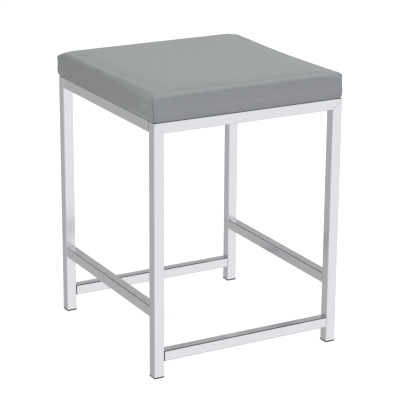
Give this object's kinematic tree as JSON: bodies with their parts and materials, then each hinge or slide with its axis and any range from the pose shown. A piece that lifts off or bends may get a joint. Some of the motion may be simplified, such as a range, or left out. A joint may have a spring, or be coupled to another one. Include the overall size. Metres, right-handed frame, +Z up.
{
  "type": "vanity stool",
  "caption": "Square vanity stool: a welded chrome square-tube frame with stretchers low down carries a padded grey vinyl seat with seamed corners.",
  "frame": {"origin": "on the floor, under the middle of the seat", "axes": "+Z up, -Y towards the front of the stool, +X to the right seen from the front"},
  "size_m": [0.394, 0.404, 0.5336],
  "materials": {
    "frame_chrome": "polished",
    "glide_plastic": "matte",
    "fastener_zinc": "satin",
    "board_plywood": "matte",
    "pad_foam": "matte",
    "cover_vinyl": "satin",
    "dust_cloth": "matte"
  },
  "bodies": {
    "root": {"corner_plate_front_left": "frame_chrome", "corner_plate_front_right": "frame_chrome", "corner_plate_rear_left": "frame_chrome", "corner_plate_rear_right": "frame_chrome", "dust_cover": "dust_cloth", "glide_front_left": "glide_plastic", "glide_front_right": "glide_plastic", "glide_rear_left": "glide_plastic", "glide_rear_right": "glide_plastic", "leg_front_left": "frame_chrome", "leg_front_right": "frame_chrome", "leg_rear_left": "frame_chrome", "leg_rear_right": "frame_chrome", "seat_board": "board_plywood", "seat_cover": "cover_vinyl", "seat_foam": "pad_foam", "seat_screw_front_left": "fastener_zinc", "seat_screw_front_right": "fastener_zinc", "seat_screw_rear_left": "fastener_zinc", "seat_screw_rear_right": "fastener_zinc", "stretcher_front": "frame_chrome", "stretcher_left": "frame_chrome", "stretcher_rear": "frame_chrome", "stretcher_right": "frame_chrome", "tee_nut_front_left": "fastener_zinc", "tee_nut_front_right": "fastener_zinc", "tee_nut_rear_left": "fastener_zinc", "tee_nut_rear_right": "fastener_zinc", "top_rail_front": "frame_chrome", "top_rail_left": "frame_chrome", "top_rail_rear": "frame_chrome", "top_rail_right": "frame_chrome", "washer_front_left": "fastener_zinc", "washer_front_right": "fastener_zinc", "washer_rear_left": "fastener_zinc", "washer_rear_right": "fastener_zinc"}
  },
  "joints": []
}
